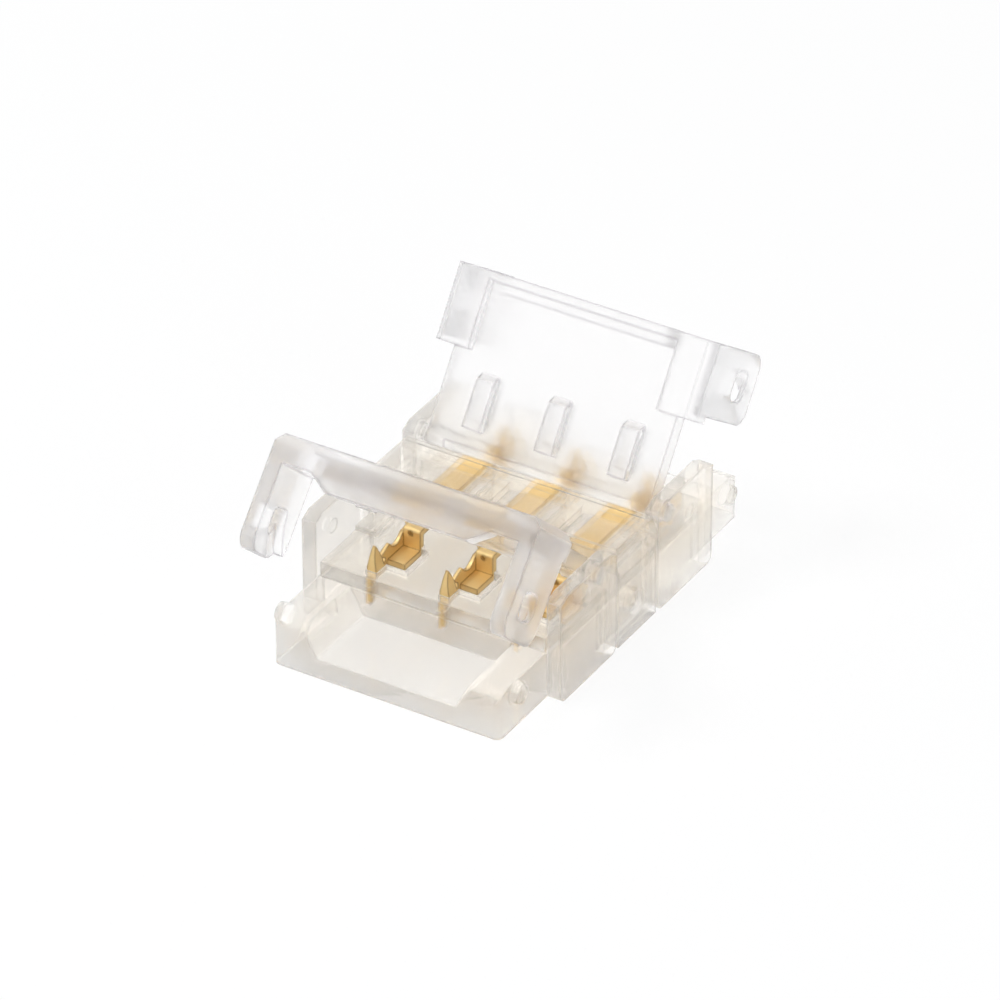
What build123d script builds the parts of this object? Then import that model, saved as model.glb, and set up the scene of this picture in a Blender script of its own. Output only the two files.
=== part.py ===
from build123d import *
import os
from math import atan2, degrees, hypot

# Solderless connector for flat light strips, in millimetres. X runs across the strip, Y along it
# and Z up from the flat underside. A housing has a tray at each end, a carrier plate holds three
# stamped contacts, a cap clips over the middle, and two covers swing down over the trays.

os.makedirs("parts", exist_ok=True)

# Trays
tray_half_width = 6.0
tray_floor = 1.06
tray_corner = 0.35
rail_width = 2.33
channel_flare = 0.73
rail_rise = 0.1
rail_end_drop = 0.71
rail_lead = 0.8

# Seat of the carrier plate
seat_height = 2.41
seat_end = 6.7
seat_gap = 0.02

# Side walls
wall_gap = 0.1
wall_thickness = 0.75
wall_start = 1.87
wall_overhang = 0.1
wall_over_hinge = 0.84
wall_bevel_length = 0.6
wall_bevel_drop = 0.28
wall_foot_radius = 0.4
mark_y = 4.73
mark_under_hinge = 0.84
mark_radius = 0.35
mark_depth = 0.05

# Latch studs on the rails
stud_offset = 0.055
stud_under_hinge = 2.8
stud_radius = 0.55
stud_reach = 0.45
stud_taper_angle = 12
stud_to_tray_end = 1.3

# Hinge
hinge_y = 3.0
hinge_over_strap = 0.63
pin_radius = 0.4
pin_clearance = 0.05
pin_reach = 0.4
pin_end_clearance = 0.17

# Carrier plate
carrier_side_gap = 0.15
carrier_thickness = 0.82
step_width = 1.12
step_start = 2.0
step_end = 3.7
step_height = 0.25
recess_depth = 0.5

# Contacts, sideways from the middle of the blade
contact_names = ("contact_left", "contact_centre", "contact_right")
outer_contact_inset = 2.13
contact_shift = 0.31
sheet = 0.3
slot_clearance = 0.05
strap_over_carrier = 0.55
strap_left = 0.44
strap_right = 0.92
strap_end = 3.0
strap_corner = 0.4
riser_end = 3.4
foot_end = 4.75
well_right = 1.4
well_end = 5.35

# Blades, heights above the foot's underside
blade_thickness = 0.5
blade_end = 6.13
blade_back_height = 1.08
saddle_y = 3.95
saddle_height = 0.63
saddle_dip = 0.08
second_tooth_y = 4.55
second_tooth_height = 1.05
notch_y = 5.25
notch_height = 0.75
tooth_start = 5.44
tooth_base_height = 0.5
tooth_y = 5.87
tooth_height = 1.69
tooth_bulge = 0.08
tooth_tip_thickness = 0.14
leg_start = 5.7
leg_end = 6.1
leg_length = 1.32
dot_radius = 0.12
dot_place = 0.4
dot_drop = 0.25
dot_depth = 0.15

# Centre cap
cap_half_length = 1.85
cap_thickness = 1.08
cap_bevel_width = 0.35
cap_bevel_drop = 0.7
skirt_half_length = 1.7
skirt_bottom = 0.06
nub_under_seat = 0.77
nub_radius = 0.5
nub_reach = 0.6
nub_taper_angle = 10
nub_clearance = 0.12
cap_rib_width = 0.85
cap_rim_width = 0.4
cap_rim_drop = 0.08

# Covers, closed, measured from the hinge's axis
plate_bottom = -0.28
plate_thickness = 0.85
pad_inset = 1.0
pad_rise = 0.45
pad_overhang = 0.32
rim_width = 0.42
lip_length = 0.86
lip_depth = 0.7
lip_inset = 0.3
lip_slope = 1.0
ear_gap = 0.83
ear_clearance = 0.18
ear_thickness = 0.75
ear_width = 3.43
ear_to_rest_face = 0.28
ear_tip_radius = 0.8
ear_top_bevel = 0.42
ear_hole_width = 1.46
ear_hole_height = 1.3
ear_hole_corner = 0.35
groove_clearance = 0.12
groove_depth = 0.5
groove_sweep_angle = 30
rib_offset = 0.1
rib_width = 0.95
rib_start = 0.8
rib_end = 3.46
rib_slope = 0.3
pocket_half_width = 0.35
pocket_start = 1.2
pocket_end = 3.25
pocket_height = 0.6
hinge_bar_radius = 0.5
hub_radius = 0.58

# How far each cover stands open, and how far the near one has slid to the left in its hinge
near_open_angle = 42.0
side_play = 0.12
far_open_angle = 54.6

# Derived heights, from the seat up
rail_top = seat_height + rail_rise
rail_end_height = rail_top - rail_end_drop
carrier_bottom = seat_height + seat_gap
carrier_top = carrier_bottom + carrier_thickness
recess_floor = carrier_top - recess_depth
foot_bottom = recess_floor + seat_gap
strap_bottom = carrier_top + strap_over_carrier
strap_top = strap_bottom + sheet
cap_bottom = strap_top + seat_gap
cap_top = cap_bottom + cap_thickness
hinge_z = strap_top + hinge_over_strap
wall_top = hinge_z + wall_over_hinge
stud_z = hinge_z - stud_under_hinge
nub_z = seat_height - nub_under_seat
leg_bottom = foot_bottom - leg_length
plate_top = plate_bottom + plate_thickness
pad_top = plate_top + pad_rise
ear_drop = hinge_z - ear_to_rest_face

# Derived places along the strip
wall_end = seat_end + wall_overhang
ear_start = wall_end + ear_gap - hinge_y
cover_length = ear_start + ear_width
pad_start = ear_start - pad_overhang
stud_y = hinge_y + (ear_start + cover_length) / 2 + stud_offset
tray_end = stud_y + stud_to_tray_end

# Derived places across the strip
channel_half_width = tray_half_width - rail_width
wall_inside = tray_half_width + wall_gap
wall_outside = wall_inside + wall_thickness
carrier_half_width = wall_inside - carrier_side_gap
plate_half_width = tray_half_width - pad_inset
ear_inside = tray_half_width + ear_clearance
ear_outside = ear_inside + ear_thickness
blade_half = blade_thickness / 2
contact_pitch = tray_half_width - outer_contact_inset
contact_places = [contact_shift + contact_pitch * (index - 1) for index in range(len(contact_names))]
rib_places = [place - rib_offset for place in contact_places]


with BuildPart() as base_housing:
    # Trays and middle block, drawn from the side
    with BuildSketch(Plane.YZ):
        with BuildLine():
            Polyline((tray_end, rail_end_height), (tray_end, 0), (0, 0), (0, seat_height),
                     (seat_end, seat_height), (seat_end, rail_top), (tray_end - rail_lead, rail_top))
            TangentArc((tray_end - rail_lead, rail_top), (tray_end, rail_end_height), tangent=(1, 0))
        make_face()
        mirror(about=Plane.YZ)
    extrude(amount=tray_half_width, both=True)
    end_corners = edges().filter_by(Axis.Z).group_by(Axis.Y)
    fillet(end_corners[0] + end_corners[-1], tray_corner)
    # Channels that the strips slide into
    for direction in (-1, 1):
        with BuildSketch(Plane.XZ.offset(direction * seat_end)):
            with BuildLine():
                Polyline((channel_half_width, tray_floor), (channel_half_width + channel_flare, rail_top),
                         (-channel_half_width - channel_flare, rail_top),
                         (-channel_half_width, tray_floor), close=True)
            make_face()
        extrude(amount=direction * (tray_end - seat_end), mode=Mode.SUBTRACT)
    # Side walls with bevelled tops and rounded feet
    for side in (-1, 1):
        with BuildSketch(Plane.YZ.offset(side * wall_inside)):
            with BuildLine():
                Polyline((wall_start, 0), (wall_end, 0), (wall_end, wall_top - wall_bevel_drop),
                         (wall_end - wall_bevel_length, wall_top),
                         (wall_start + wall_bevel_length, wall_top),
                         (wall_start, wall_top - wall_bevel_drop), close=True)
            make_face()
            fillet(vertices().group_by(Axis.Y)[0], wall_foot_radius)
            mirror(about=Plane.YZ)
        extrude(amount=side * wall_thickness)
        # Round mark on one wall of each side
        with BuildSketch(Plane.YZ.offset(side * wall_outside)):
            with Locations((side * mark_y, hinge_z - mark_under_hinge)):
                Circle(mark_radius)
        extrude(amount=-side * mark_depth, mode=Mode.SUBTRACT)
        # Web that joins the walls to the block
        with BuildSketch(Plane.YZ.offset(side * tray_half_width)):
            with Locations((0, seat_height / 2)):
                with GridLocations(wall_start + seat_end, 0, 2, 1):
                    Rectangle(seat_end - wall_start - 2 * wall_foot_radius, seat_height)
        extrude(amount=side * wall_gap)
        # Blind holes for the covers' pins
        with BuildSketch(Plane.YZ.offset(side * wall_inside)):
            with Locations((-hinge_y, hinge_z), (hinge_y, hinge_z)):
                Circle(pin_radius + pin_clearance)
        extrude(amount=side * (pin_reach + pin_end_clearance), mode=Mode.SUBTRACT)
        # Latch studs
        with BuildSketch(Plane.YZ.offset(side * tray_half_width)):
            with Locations((-stud_y, stud_z), (stud_y, stud_z)):
                Circle(stud_radius)
        extrude(amount=side * stud_reach, taper=stud_taper_angle)
        # Nub that the cap's skirt snaps over
        with BuildSketch(Plane.YZ.offset(side * tray_half_width)):
            with Locations((0, nub_z)):
                Circle(nub_radius)
        extrude(amount=side * nub_reach, taper=nub_taper_angle)
    # Slots for the contacts' legs
    with BuildSketch(Plane.XY.offset(seat_height)):
        for place in contact_places:
            for direction in (-1, 1):
                with Locations((place - blade_half / 2, direction * (leg_start + leg_end) / 2)):
                    Rectangle(blade_half + 2 * slot_clearance, leg_end - leg_start + 2 * slot_clearance)
    extrude(amount=leg_bottom - slot_clearance - seat_height, mode=Mode.SUBTRACT)
base_housing.part.label = "base_housing"
export_step(base_housing.part, "parts/base_housing.step")


with BuildPart() as contact_carrier:
    with BuildSketch(Plane.XY.offset(carrier_bottom)):
        Rectangle(2 * carrier_half_width, 2 * seat_end)
    extrude(amount=carrier_thickness)
    # Low steps beside the hinges
    with BuildSketch(Plane.XY.offset(carrier_top)):
        with GridLocations(2 * carrier_half_width - step_width, step_start + step_end, 2, 2):
            Rectangle(step_width, step_end - step_start)
    extrude(amount=step_height)
    # Wells that the contacts' feet lie in, narrow behind for the risers and in front for the blades
    slot_half = blade_half + slot_clearance
    riser_half = (strap_right + blade_half) / 2 + slot_clearance
    well_start = riser_end - sheet - slot_clearance
    with BuildSketch(Plane.XY.offset(recess_floor)):
        for place in contact_places:
            for direction in (-1, 1):
                behind = direction * (well_start + riser_end) / 2
                with Locations((place + (strap_right - blade_half) / 2, behind)):
                    Rectangle(2 * riser_half, riser_end - well_start)
                middle = direction * (riser_end + well_end) / 2
                with Locations((place + (well_right - slot_half) / 2, middle)):
                    Rectangle(well_right + slot_half, well_end - riser_end)
                with Locations((place, direction * (well_end + blade_end + slot_clearance) / 2)):
                    Rectangle(2 * slot_half, blade_end + slot_clearance - well_end)
    extrude(amount=recess_depth + step_height, mode=Mode.SUBTRACT)
    # Holes that the contacts' legs pass through
    with BuildSketch(Plane.XY.offset(carrier_bottom)):
        for place in contact_places:
            for direction in (-1, 1):
                with Locations((place - blade_half / 2, direction * (leg_start + leg_end) / 2)):
                    Rectangle(blade_half + 2 * slot_clearance, leg_end - leg_start + 2 * slot_clearance)
    extrude(amount=carrier_thickness, mode=Mode.SUBTRACT)
contact_carrier.part.label = "contact_carrier"
export_step(contact_carrier.part, "parts/contact_carrier.step")


# Three alike contacts, each a strap with a toothed blade at both ends
for name, place in zip(contact_names, contact_places):
    with BuildPart() as contact:
        # Blade with two leaf-shaped teeth, and the leg below it
        with BuildSketch(Plane.YZ.offset(place)):
            with BuildLine():
                blade_back = (riser_end, foot_bottom + blade_back_height)
                saddle = (saddle_y, foot_bottom + saddle_height)
                second_tip = (second_tooth_y, foot_bottom + second_tooth_height)
                tooth_back = (tooth_start, foot_bottom + tooth_base_height)
                tip = (tooth_y, foot_bottom + tooth_height)
                tooth_front = (blade_end, foot_bottom + tooth_base_height)
                Polyline((riser_end - sheet, foot_bottom),
                         (riser_end - sheet, foot_bottom + blade_back_height), blade_back)
                SagittaArc(blade_back, saddle, -saddle_dip)
                SagittaArc(saddle, second_tip, -saddle_dip)
                Polyline(second_tip, (notch_y, foot_bottom + notch_height), tooth_back)
                SagittaArc(tooth_back, tip, tooth_bulge)
                SagittaArc(tip, tooth_front, tooth_bulge)
                Polyline(tooth_front, (blade_end, foot_bottom), (leg_end, foot_bottom),
                         (leg_end, leg_bottom), (leg_start, leg_bottom), (leg_start, foot_bottom),
                         (riser_end - sheet, foot_bottom))
            make_face()
            mirror(about=Plane.YZ)
        extrude(amount=blade_half, both=True)
        # The leg, and the blade behind the front tooth, are half as thick
        with BuildSketch(Plane.XY.offset(foot_bottom)):
            with Locations((place + blade_half / 2, 0)):
                Rectangle(blade_half, 2 * notch_y)
        extrude(amount=tooth_height, mode=Mode.SUBTRACT)
        with BuildSketch(Plane.XY.offset(foot_bottom)):
            with Locations((place + blade_half / 2, 0)):
                Rectangle(blade_half, 2 * leg_end)
        extrude(amount=-leg_length, mode=Mode.SUBTRACT)
        # Teeth narrow towards their tips across the blade too
        with BuildSketch(Plane.XZ):
            for side in (-1, 1):
                with BuildLine():
                    Polyline((place + side * blade_half, foot_bottom + tooth_base_height),
                             (place + side * blade_half, foot_bottom + tooth_height),
                             (place + side * tooth_tip_thickness / 2, foot_bottom + tooth_height),
                             close=True)
                make_face()
        extrude(amount=blade_end, both=True, mode=Mode.SUBTRACT)
        # Strap, riser and foot in one bent strip
        with BuildSketch(Plane.YZ.offset(place)):
            with BuildLine():
                Polyline((0, strap_top), (riser_end, strap_top), (riser_end, foot_bottom + sheet),
                         (foot_end, foot_bottom + sheet), (foot_end, foot_bottom),
                         (riser_end - sheet, foot_bottom), (riser_end - sheet, strap_bottom),
                         (0, strap_bottom), close=True)
            make_face()
            outer_bend = vertices().filter_by_position(Axis.X, riser_end, riser_end)
            fillet(outer_bend.group_by(Axis.Y)[-1], sheet / 2)
            mirror(about=Plane.YZ)
        extrude(amount=strap_right)
        # Wide middle of the strap
        with BuildSketch(Plane.XY.offset(strap_bottom)):
            with Locations((place + (strap_right - strap_left) / 2, 0)):
                Rectangle(strap_left + strap_right, 2 * strap_end)
            chamfer(vertices().group_by(Axis.X)[0], strap_corner)
        extrude(amount=sheet)
        # Small dot pressed into each riser
        for direction in (-1, 1):
            with BuildSketch(Plane.XZ.offset(-direction * riser_end)):
                with Locations((place + dot_place, strap_top - dot_drop)):
                    Circle(dot_radius)
            extrude(amount=direction * dot_depth, mode=Mode.SUBTRACT)
    contact.part.label = name
    export_step(contact.part, f"parts/{name}.step")


with BuildPart() as centre_cap:
    # Plate over the straps
    with BuildSketch(Plane.XZ):
        with BuildLine():
            Polyline((wall_outside, cap_bottom), (wall_outside, cap_top - cap_bevel_drop),
                     (wall_outside - cap_bevel_width, cap_top), (cap_bevel_width - wall_outside, cap_top),
                     (-wall_outside, cap_top - cap_bevel_drop), (-wall_outside, cap_bottom), close=True)
        make_face()
    extrude(amount=cap_half_length, both=True)
    # Lower rims along its front and back
    with BuildSketch(Plane.XY.offset(cap_top)):
        with GridLocations(0, 2 * cap_half_length - cap_rim_width, 1, 2):
            Rectangle(2 * wall_outside, cap_rim_width)
    extrude(amount=-cap_rim_drop, mode=Mode.SUBTRACT)
    # Skirts, with round holes for the housing's nubs
    with BuildSketch(Plane.XY.offset(cap_bottom)):
        with GridLocations(wall_inside + wall_outside, 0, 2, 1):
            Rectangle(wall_thickness, 2 * skirt_half_length)
    extrude(amount=skirt_bottom - cap_bottom)
    with BuildSketch(Plane.YZ):
        with Locations((0, nub_z)):
            Circle(nub_radius + nub_clearance)
    extrude(amount=wall_outside, both=True, mode=Mode.SUBTRACT)
    # Ribs that stand on the carrier between the straps
    with BuildSketch(Plane.XY.offset(carrier_top + seat_gap)):
        for place in contact_places[:-1]:
            gap_middle = place + (strap_right - strap_left + contact_pitch) / 2
            with Locations((gap_middle, 0)):
                Rectangle(cap_rib_width, 2 * skirt_half_length)
    extrude(amount=cap_bottom - carrier_top - seat_gap)
centre_cap.part.label = "centre_cap"
export_step(centre_cap.part, "parts/centre_cap.step")


# One cover, closed, with the hinge's axis as its X axis and its free end towards Y
with BuildPart() as closed_cover:
    # Plate, wide at the hinge and narrower between the pads
    with BuildSketch(Plane.XY.offset(plate_bottom)):
        with Locations((0, cover_length / 2)):
            Rectangle(2 * plate_half_width, cover_length)
        with Locations((0, pad_start / 2)):
            Rectangle(2 * carrier_half_width, pad_start)
    extrude(amount=plate_thickness)
    # Raised pads over the ears, and the rim that joins them along the free end
    with BuildSketch(Plane.XY.offset(plate_bottom)):
        with GridLocations(plate_half_width + ear_outside, 0, 2, 1):
            with Locations((0, (pad_start + cover_length) / 2)):
                Rectangle(ear_outside - plate_half_width, cover_length - pad_start)
        with Locations((0, cover_length - rim_width / 2)):
            Rectangle(2 * plate_half_width, rim_width)
    extrude(amount=pad_top - plate_bottom)
    # Lip under the free end, narrower below
    lip_half_width = plate_half_width - lip_inset
    with BuildSketch(Plane.XZ.offset(-cover_length)):
        with BuildLine():
            Polyline((lip_half_width, plate_bottom), (lip_half_width - lip_slope, plate_bottom - lip_depth),
                     (lip_slope - lip_half_width, plate_bottom - lip_depth),
                     (-lip_half_width, plate_bottom), close=True)
        make_face()
    extrude(amount=lip_length)
    # Ears
    for side in (-1, 1):
        with BuildSketch(Plane.YZ.offset(side * ear_inside)):
            with Locations(((ear_start + cover_length) / 2, (pad_top - ear_drop) / 2)):
                Rectangle(ear_width, pad_top + ear_drop)
            fillet(vertices().group_by(Axis.Y)[0], ear_tip_radius)
        extrude(amount=side * ear_thickness)
    top_sides = edges().filter_by(Axis.Y).group_by(Axis.Z)[-1]
    chamfer(top_sides.group_by(Axis.X)[0] + top_sides.group_by(Axis.X)[-1], ear_top_bevel)
    # Hinge bar, hubs and pins
    with BuildSketch(Plane.YZ):
        Circle(hinge_bar_radius)
    extrude(amount=carrier_half_width, both=True)
    for side in (-1, 1):
        with BuildSketch(Plane.YZ.offset(side * plate_half_width)):
            Circle(hub_radius)
        extrude(amount=side * (carrier_half_width - plate_half_width))
    with BuildSketch(Plane.YZ):
        Circle(pin_radius)
    extrude(amount=wall_inside + pin_reach, both=True)
    # Ribs, hollow below for the contacts' teeth
    for place in rib_places:
        with BuildSketch(Plane.YZ.offset(place)):
            with BuildLine():
                Polyline((rib_start, plate_bottom), (rib_end, plate_bottom), (rib_end, plate_top),
                         (rib_end - rib_slope, pad_top), (rib_start, pad_top), close=True)
            make_face()
        extrude(amount=rib_width / 2, both=True)
    with BuildSketch(Plane.XY.offset(plate_bottom)):
        for place in rib_places:
            with Locations((place, (pocket_start + pocket_end) / 2)):
                Rectangle(2 * pocket_half_width, pocket_end - pocket_start)
    extrude(amount=pocket_height - plate_bottom, mode=Mode.SUBTRACT)
    # Holes for the studs, and the grooves that the studs run in
    hole_y = stud_y - hinge_y
    hole_z = stud_z - hinge_z
    groove_radius = hypot(hole_y, hole_z)
    groove_half = stud_radius + groove_clearance
    groove_start = degrees(atan2(hole_z, hole_y))
    with BuildSketch(Plane.YZ):
        with Locations((hole_y, hole_z)):
            RectangleRounded(ear_hole_width, ear_hole_height, ear_hole_corner)
    extrude(amount=ear_outside, both=True, mode=Mode.SUBTRACT)
    for side in (-1, 1):
        with BuildSketch(Plane.YZ.offset(side * ear_inside)):
            with BuildLine():
                outer = CenterArc((0, 0), groove_radius + groove_half, groove_start, -groove_sweep_angle)
                inner = CenterArc((0, 0), groove_radius - groove_half, groove_start, -groove_sweep_angle)
                Line(outer @ 0, inner @ 0)
                Line(outer @ 1, inner @ 1)
            make_face()
        extrude(amount=side * groove_depth, mode=Mode.SUBTRACT)


with BuildPart() as far_cover:
    with Locations(Location((0, hinge_y, hinge_z), (far_open_angle, 0, 0))):
        add(closed_cover.part)
far_cover.part.label = "far_cover"
export_step(far_cover.part, "parts/far_cover.step")


with BuildPart() as near_cover:
    with Locations(Location((-side_play, -hinge_y, hinge_z), (-near_open_angle, 0, 0))):
        add(mirror(closed_cover.part, about=Plane.XZ, mode=Mode.PRIVATE))
near_cover.part.label = "near_cover"
export_step(near_cover.part, "parts/near_cover.step")
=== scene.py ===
import math

import bpy
from bpy.props import FloatProperty, FloatVectorProperty, PointerProperty
from bpy.types import Operator, Panel, PropertyGroup
from mathutils import Matrix, Vector

bl_info = {
    "name": "Light strip connector",
    "version": (1, 0, 0),
    "blender": (4, 5, 0),
    "location": "View3D > Sidebar > Connector",
    "description": "Dresses a clear clip-on connector for flat light strips and sets up its studio",
    "category": "Object",
}

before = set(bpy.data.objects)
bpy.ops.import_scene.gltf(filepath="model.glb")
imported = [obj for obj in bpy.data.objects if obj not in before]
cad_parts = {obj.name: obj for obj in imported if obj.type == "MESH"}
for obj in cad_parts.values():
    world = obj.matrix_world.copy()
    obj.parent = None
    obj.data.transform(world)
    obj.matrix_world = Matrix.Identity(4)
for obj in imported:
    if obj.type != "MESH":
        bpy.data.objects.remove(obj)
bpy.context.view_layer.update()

BODY_NODES = ("base_housing", "contact_carrier", "centre_cap")
COVER_NODES = ("near_cover", "far_cover")
CONTACT_NODES = ("contact_left", "contact_centre", "contact_right")
MM = 0.001
WHITE = (1.0, 1.0, 1.0)

# How far a normal leans on a full edge, and how many rays look for it
EDGE_LEAN = 0.25
EDGE_SAMPLES = 4

# Faint flow marks of the moulded plastic
FLOW_SCALE = 450.0
FLOW_RANGE = (0.35, 0.75)
FLOW_ROUGHNESS = 0.05
FLOW_BUMP = 0.06
FLOW_HEIGHT = 0.04 * MM

# What the plastic gains along its edges, and how clear its milky share is
EDGE_ROUGHNESS = 0.05
EDGE_SOLID = 0.3
MILKY_CLEARNESS = 0.9

# Fine grain of the stamped sheet
GRAIN_SCALE = 2500.0
GRAIN_RANGE = (0.3, 0.7)
GRAIN_ROUGHNESS = 0.12
GRAIN_BUMP = 0.1
GRAIN_HEIGHT = 0.02 * MM

SENSOR_WIDTH = 36.0
NEAREST_SEEN = 10 * MM


class Sock:
    """A socket that adds Math nodes when it is used in an expression."""

    def __init__(self, graph, link):
        self.graph = graph
        self.link = link

    def _math(self, operation, first, second):
        return self.graph.out("ShaderNodeMath", 0, {"operation": operation}, {0: first, 1: second})

    def __add__(self, other):
        return self._math("ADD", self, other)

    def __sub__(self, other):
        return self._math("SUBTRACT", self, other)

    def __rsub__(self, other):
        return self._math("SUBTRACT", other, self)

    def __mul__(self, other):
        return self._math("MULTIPLY", self, other)

    __radd__ = __add__
    __rmul__ = __mul__

    def ramp(self, low, high):
        """0 up to low, 1 from high on and an even rise between them."""
        return self.graph.out("ShaderNodeMapRange", 0, {"clamp": True}, {0: self, 1: low, 2: high})


class Graph:
    """The nodes of one material or of the world."""

    def __init__(self, owner):
        owner.use_nodes = True
        self.tree = owner.node_tree
        self.tree.nodes.clear()

    def node(self, kind, settings=None, inputs=None):
        """Adds a node, sets its settings, then its sockets. A node given as an input is its first output."""
        made = self.tree.nodes.new(kind)
        for name, value in (settings or {}).items():
            setattr(made, name, value)
        for name, value in (inputs or {}).items():
            if isinstance(value, Sock):
                value = value.link
            elif isinstance(value, bpy.types.Node):
                value = value.outputs[0]
            if isinstance(value, bpy.types.NodeSocket):
                self.tree.links.new(value, made.inputs[name])
            else:
                made.inputs[name].default_value = value
        return made

    def out(self, kind, output, settings=None, inputs=None):
        """Adds a node and wraps one of its outputs."""
        return Sock(self, self.node(kind, settings, inputs).outputs[output])

    def mix(self, factor, first, second):
        """Blends two colours."""
        return self.out("ShaderNodeMix", 2, {"data_type": "RGBA"}, {0: factor, 6: first, 7: second})

    def blend(self, factor, first, second):
        """Blends two shaders."""
        return self.node("ShaderNodeMixShader", None, {0: factor, 1: first, 2: second})

    def noise(self, scale, detail=3.0):
        """Soft noise in the object's own metres."""
        spot = self.node("ShaderNodeTexCoord").outputs["Object"]
        return self.out("ShaderNodeTexNoise", "Fac", None,
                        {"Vector": spot, "Scale": scale, "Detail": detail})

    def shaded_edge(self, radius):
        """A mask, 1 along the solid's edges and 0 on its flat faces, and the normal that rounds them."""
        rounded = self.out("ShaderNodeBevel", "Normal", {"samples": EDGE_SAMPLES}, {"Radius": radius})
        flat = self.node("ShaderNodeNewGeometry").outputs["True Normal"]
        lean = self.out("ShaderNodeVectorMath", "Value", {"operation": "DOT_PRODUCT"}, {0: rounded, 1: flat})
        return (1 - lean).ramp(0.0, EDGE_LEAN), rounded

    def bump(self, height, distance, strength, normal):
        """The normal with a fine relief on it."""
        return self.out("ShaderNodeBump", "Normal", None,
                        {"Height": height, "Distance": distance, "Strength": strength, "Normal": normal})


def material(name):
    made = bpy.data.materials.new(name)
    return made, Graph(made)


def colour(values):
    return (*values, 1.0)


def swatch(name, text, default):
    return FloatVectorProperty(name=name, description=text, default=default, subtype="COLOR",
                               min=0.0, max=1.0)


def share(name, text, default):
    return FloatProperty(name=name, description=text, default=default, subtype="FACTOR", min=0.0, max=1.0)


def length(name, text, default):
    return FloatProperty(name=name, description=text, default=default, unit="LENGTH", min=0.0, precision=5)


def angle(name, text, degrees):
    return FloatProperty(name=name, description=text, default=math.radians(degrees), subtype="ANGLE",
                         unit="ROTATION")


def place(name, text, default):
    return FloatVectorProperty(name=name, description=text, default=default, subtype="TRANSLATION",
                               unit="LENGTH")


def power(name, text, default):
    return FloatProperty(name=name, description=text, default=default, unit="POWER", min=0.0)


def number(name, text, default, low=0.0):
    return FloatProperty(name=name, description=text, default=default, min=low)


class BodySettings(PropertyGroup):
    face: swatch("Face", "Colour of the housing's faces", (1.0, 0.99, 0.97))
    # The colour below is painted shade: a warm grey laid along every edge of the housing, carrier and cap.
    edge: swatch("Edge", "Colour that gathers along the edges", (0.88, 0.85, 0.81))
    depth: swatch("Depth", "Colour that thick plastic takes", (0.99, 0.66, 0.15))
    density: number("Density", "How fast the plastic takes that colour, per metre", 34.0)
    edge_radius: length("Edge radius", "Rounding of the moulded edges", 0.2 * MM)
    haze: share("Haze", "Share of light that a face scatters", 0.16)
    edge_haze: share("Edge haze", "Further share that an edge scatters", 0.4)
    frost: share("Frost", "Further roughness of the scattering share", 0.25)
    polish: share("Polish", "Roughness of the mould's polish", 0.08)
    bend: number("Bend", "Index of refraction", 1.22, 1.0)
    solid: share("Solid", "Share of light that meets the plastic", 0.55)


class CoverSettings(PropertyGroup):
    face: swatch("Face", "Colour of the covers' faces", (0.995, 0.99, 0.99))
    # The colour below is painted shade: a dark lilac grey laid along every edge of the covers.
    edge: swatch("Edge", "Colour that gathers along the edges", (0.55, 0.52, 0.56))
    depth: swatch("Depth", "Colour that thick plastic takes", (0.6, 0.5, 0.6))
    density: number("Density", "How fast the plastic takes that colour, per metre", 20.0)
    edge_radius: length("Edge radius", "Rounding of the moulded edges", 0.2 * MM)
    haze: share("Haze", "Share of light that a face scatters", 0.42)
    edge_haze: share("Edge haze", "Further share that an edge scatters", 0.6)
    frost: share("Frost", "Further roughness of the scattering share", 0.6)
    polish: share("Polish", "Roughness of the mould's polish", 0.06)
    bend: number("Bend", "Index of refraction", 1.3, 1.0)
    solid: share("Solid", "Share of light that meets the plastic", 0.68)


class ContactSettings(PropertyGroup):
    gold: swatch("Gold", "Colour of the plating", (0.75, 0.55, 0.25))
    # The colour below is painted shade: a dark brown laid along every stamped edge of the contacts.
    painted_shade: swatch("Worn", "Colour where the stamped edge is bare", (0.22, 0.11, 0.03))
    edge_radius: length("Edge radius", "Rounding of the stamped edges", 0.15 * MM)
    polish: share("Polish", "Roughness where the grain is finest", 0.36)
    shine: share("Shine", "Share of light that the metal mirrors", 0.75)


class StageSettings(PropertyGroup):
    azimuth: angle("Azimuth", "Turn of the camera about the vertical", 31.11)
    elevation: angle("Elevation", "Camera's height as an angle", 34.19)
    distance: length("Distance", "From the origin to the camera", 366 * MM)
    lens: number("Lens", "Focal length on a 36 mm sensor, in millimetres", 286.5, 1.0)
    shift: FloatVectorProperty(name="Shift", description="Camera's shift across and up, in picture widths",
                               default=(-0.00845, 0.0876), size=2, precision=5)
    floor: swatch("Floor", "Colour of the floor", (0.93, 0.93, 0.93))
    floor_size: length("Floor size", "Side of the floor", 2.0)
    floor_gap: length("Floor gap", "How far the floor lies under the housing", 0.02 * MM)
    floor_glow: share("Floor glow", "Share of plain white in the floor that the camera sees", 0.9)
    room: swatch("Room", "Colour of the light from the room", (0.9, 0.92, 0.96))
    room_light: number("Room light", "Strength of the light from the room", 0.4)
    key_place: place("Key place", "Where the key lamp stands", (-0.16, -0.12, 0.28))
    key_size: length("Key size", "Side of the key lamp", 0.12)
    key_power: power("Key power", "Power of the key lamp", 0.8)
    fill_place: place("Fill place", "Where the fill lamp stands", (0.24, -0.1, 0.14))
    fill_size: length("Fill size", "Side of the fill lamp", 0.14)
    fill_power: power("Fill power", "Power of the fill lamp", 0.3)


class CONNECTOR_OT_body(Operator):
    """Gives the housing, the carrier and the cap their warm clear plastic"""
    bl_idname = "connector.body"
    bl_label = "Dress body"

    def execute(self, context):
        dress(BODY_NODES, clear_plastic("body_plastic", context.scene.connector_body))
        return {"FINISHED"}


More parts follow.
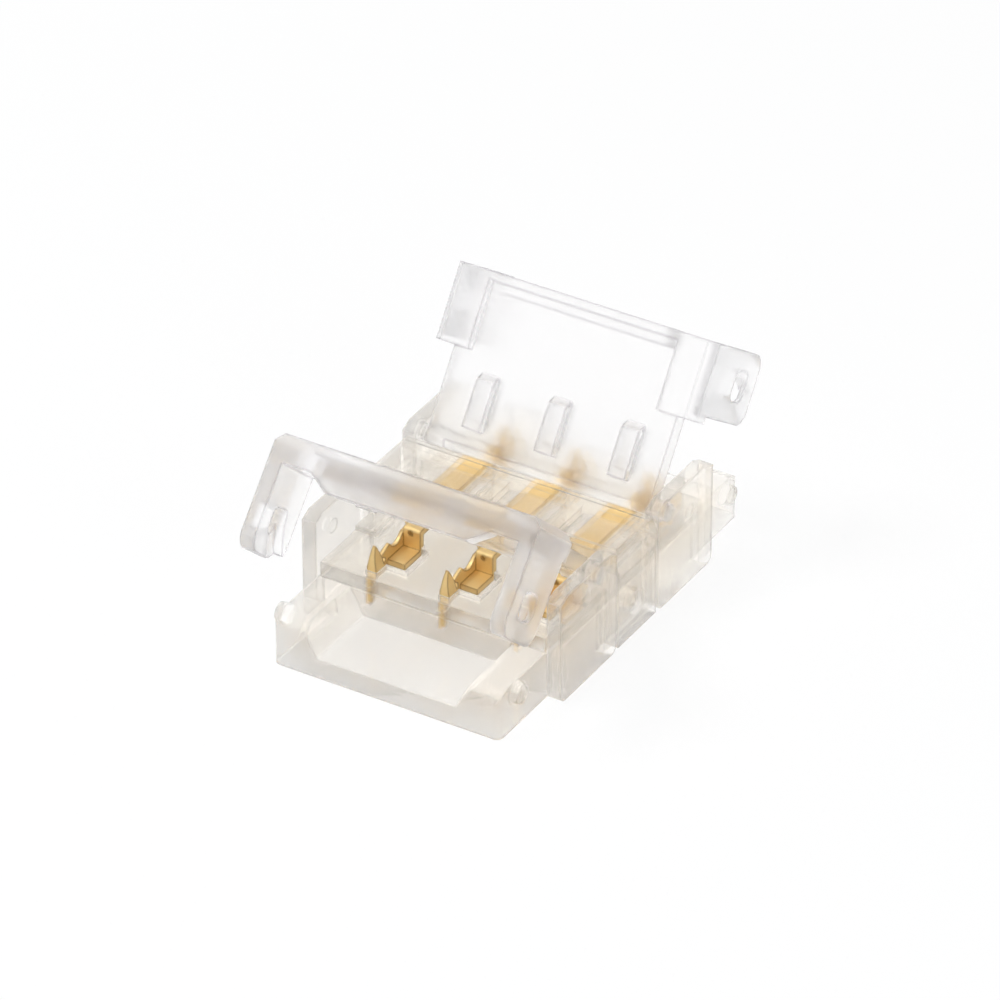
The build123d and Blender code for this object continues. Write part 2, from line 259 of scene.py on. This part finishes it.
class CONNECTOR_OT_covers(Operator):
    """Gives the covers their frosted clear plastic"""
    bl_idname = "connector.covers"
    bl_label = "Dress covers"

    def execute(self, context):
        dress(COVER_NODES, clear_plastic("cover_plastic", context.scene.connector_covers))
        return {"FINISHED"}


class CONNECTOR_OT_contacts(Operator):
    """Gives the contacts their gold plating"""
    bl_idname = "connector.contacts"
    bl_label = "Dress contacts"

    def execute(self, context):
        dress(CONTACT_NODES, gold_plating(context.scene.connector_contacts))
        return {"FINISHED"}


class CONNECTOR_OT_stage(Operator):
    """Builds the floor, the world, the lamps and the camera"""
    bl_idname = "connector.stage"
    bl_label = "Build stage"

    def execute(self, context):
        settings = context.scene.connector_stage
        add_floor(context, settings)
        light_world(context, settings)
        add_lamp(context, "key", settings.key_place, settings.key_size, settings.key_power)
        add_lamp(context, "fill", settings.fill_place, settings.fill_size, settings.fill_power)
        add_camera(context, settings)
        context.scene.view_settings.view_transform = "Standard"
        return {"FINISHED"}


class CONNECTOR_PT_panel(Panel):
    bl_idname = "CONNECTOR_PT_panel"
    bl_label = "Light strip connector"
    bl_space_type = "VIEW_3D"
    bl_region_type = "UI"
    bl_category = "Connector"

    def draw(self, context):
        for name, operator in PANEL_ROWS:
            box = self.layout.box()
            settings = getattr(context.scene, name)
            for key in settings.__annotations__:
                box.prop(settings, key)
            box.operator(operator)


def dress(nodes, made):
    for node in nodes:
        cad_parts[node].material_slots[0].material = made


def clear_plastic(name, settings):
    """Clear plastic that turns milky along its edges, with painted shade in its colour there, and takes a
    tint where it is thick.
    """
    made, graph = material(name)
    edge, rounded = graph.shaded_edge(settings.edge_radius)
    flow = graph.noise(FLOW_SCALE)
    rough = settings.polish + flow.ramp(*FLOW_RANGE) * FLOW_ROUGHNESS + edge * EDGE_ROUGHNESS
    common = {
        # The base colour is painted shade along the edges: the edge mask blends it towards the edge colour.
        "Base Color": graph.mix(edge, colour(settings.face), colour(settings.edge)),
        "IOR": settings.bend,
        "Normal": graph.bump(flow, FLOW_HEIGHT, FLOW_BUMP, rounded),
        "Alpha": (edge * EDGE_SOLID + settings.solid).ramp(0.0, 1.0),
    }
    clear = graph.node("ShaderNodeBsdfPrincipled", None, {
        **common, "Roughness": rough, "Transmission Weight": 1.0})
    milky = graph.node("ShaderNodeBsdfPrincipled", None, {
        **common, "Roughness": rough + settings.frost, "Transmission Weight": MILKY_CLEARNESS})
    both = graph.blend(settings.haze + edge * settings.edge_haze, clear, milky)
    depth = graph.node("ShaderNodeVolumeAbsorption", None,
                       {"Color": colour(settings.depth), "Density": settings.density})
    graph.node("ShaderNodeOutputMaterial", None, {"Surface": both, "Volume": depth})
    return made


def gold_plating(settings):
    """Thin gold plating, with painted shade in a dark brown along its stamped edges."""
    made, graph = material("gold_plating")
    edge, rounded = graph.shaded_edge(settings.edge_radius)
    grain = graph.noise(GRAIN_SCALE)
    shader = graph.node("ShaderNodeBsdfPrincipled", None, {
        # The base colour is painted shade along the stamped edges: the edge mask blends the gold towards
        # dark brown.
        "Base Color": graph.mix(edge, colour(settings.gold), colour(settings.painted_shade)),
        "Roughness": settings.polish + grain.ramp(*GRAIN_RANGE) * GRAIN_ROUGHNESS,
        "Metallic": settings.shine,
        "Normal": graph.bump(grain, GRAIN_HEIGHT, GRAIN_BUMP, rounded),
    })
    graph.node("ShaderNodeOutputMaterial", None, {"Surface": shader})
    return made


def seen(graph):
    """1 where the camera sees something straight, or in metal and through glass, and 0 elsewhere."""
    path = graph.node("ShaderNodeLightPath").outputs
    straight = Sock(graph, path["Is Camera Ray"])
    return (straight + path["Is Glossy Ray"] + path["Is Transmission Ray"]).ramp(0.0, 1.0)


def add_floor(context, settings):
    """A matt floor that looks nearly white and still takes the shadow."""
    half = settings.floor_size / 2
    mesh = bpy.data.meshes.new("floor")
    corners = [(-half, -half), (half, -half), (half, half), (-half, half)]
    mesh.from_pydata([(x, y, -settings.floor_gap) for x, y in corners], [], [(0, 1, 2, 3)])
    floor = bpy.data.objects.new("floor", mesh)
    context.collection.objects.link(floor)
    made, graph = material("floor_white")
    matt = graph.node("ShaderNodeBsdfDiffuse", None, {"Color": colour(settings.floor)})
    glow = graph.node("ShaderNodeEmission", None, {"Color": colour(WHITE), "Strength": 1.0})
    graph.node("ShaderNodeOutputMaterial", None,
               {"Surface": graph.blend(seen(graph) * settings.floor_glow, matt, glow)})
    mesh.materials.append(made)


def light_world(context, settings):
    """A dim room that the camera sees as plain white."""
    world = bpy.data.worlds.new("studio")
    context.scene.world = world
    graph = Graph(world)
    room = graph.node("ShaderNodeBackground", None,
                      {"Color": colour(settings.room), "Strength": settings.room_light})
    white = graph.node("ShaderNodeBackground", None, {"Color": colour(WHITE), "Strength": 1.0})
    graph.node("ShaderNodeOutputWorld", None, {"Surface": graph.blend(seen(graph), room, white)})


def add_lamp(context, name, stand, size, watts):
    """A square lamp that faces the origin."""
    lamp = bpy.data.lights.new(name, "AREA")
    lamp.energy = watts
    lamp.size = size
    lamp_object = bpy.data.objects.new(name, lamp)
    lamp_object.location = stand
    lamp_object.rotation_euler = Vector(stand).to_track_quat("Z", "Y").to_euler()
    context.collection.objects.link(lamp_object)


def add_camera(context, settings):
    """A level camera that faces the origin, shifted to the photograph's framing."""
    turn = settings.azimuth
    rise = settings.elevation
    back = Vector((math.sin(turn) * math.cos(rise), -math.cos(turn) * math.cos(rise), math.sin(rise)))
    right = Vector((math.cos(turn), math.sin(turn), 0))
    axes = Matrix((right, back.cross(right), back)).transposed().to_4x4()
    camera = bpy.data.cameras.new("camera")
    camera.lens = settings.lens
    camera.sensor_width = SENSOR_WIDTH
    camera.clip_start = NEAREST_SEEN
    camera.shift_x, camera.shift_y = settings.shift
    camera_object = bpy.data.objects.new("camera", camera)
    camera_object.matrix_world = Matrix.Translation(back * settings.distance) @ axes
    context.collection.objects.link(camera_object)
    context.scene.camera = camera_object


PANEL_ROWS = (("connector_body", "connector.body"), ("connector_covers", "connector.covers"),
              ("connector_contacts", "connector.contacts"), ("connector_stage", "connector.stage"))
GROUPS = (BodySettings, CoverSettings, ContactSettings, StageSettings)
CLASSES = (*GROUPS, CONNECTOR_OT_body, CONNECTOR_OT_covers, CONNECTOR_OT_contacts, CONNECTOR_OT_stage,
           CONNECTOR_PT_panel)


def register():
    for entry in CLASSES:
        bpy.utils.register_class(entry)
    for (name, _), group in zip(PANEL_ROWS, GROUPS):
        setattr(bpy.types.Scene, name, PointerProperty(type=group))


def unregister():
    for name, _ in PANEL_ROWS:
        delattr(bpy.types.Scene, name)
    for entry in reversed(CLASSES):
        bpy.utils.unregister_class(entry)


def main():
    register()
    bpy.ops.connector.body()
    bpy.ops.connector.covers()
    bpy.ops.connector.contacts()
    bpy.ops.connector.stage()


if __name__ == "__main__":
    main()
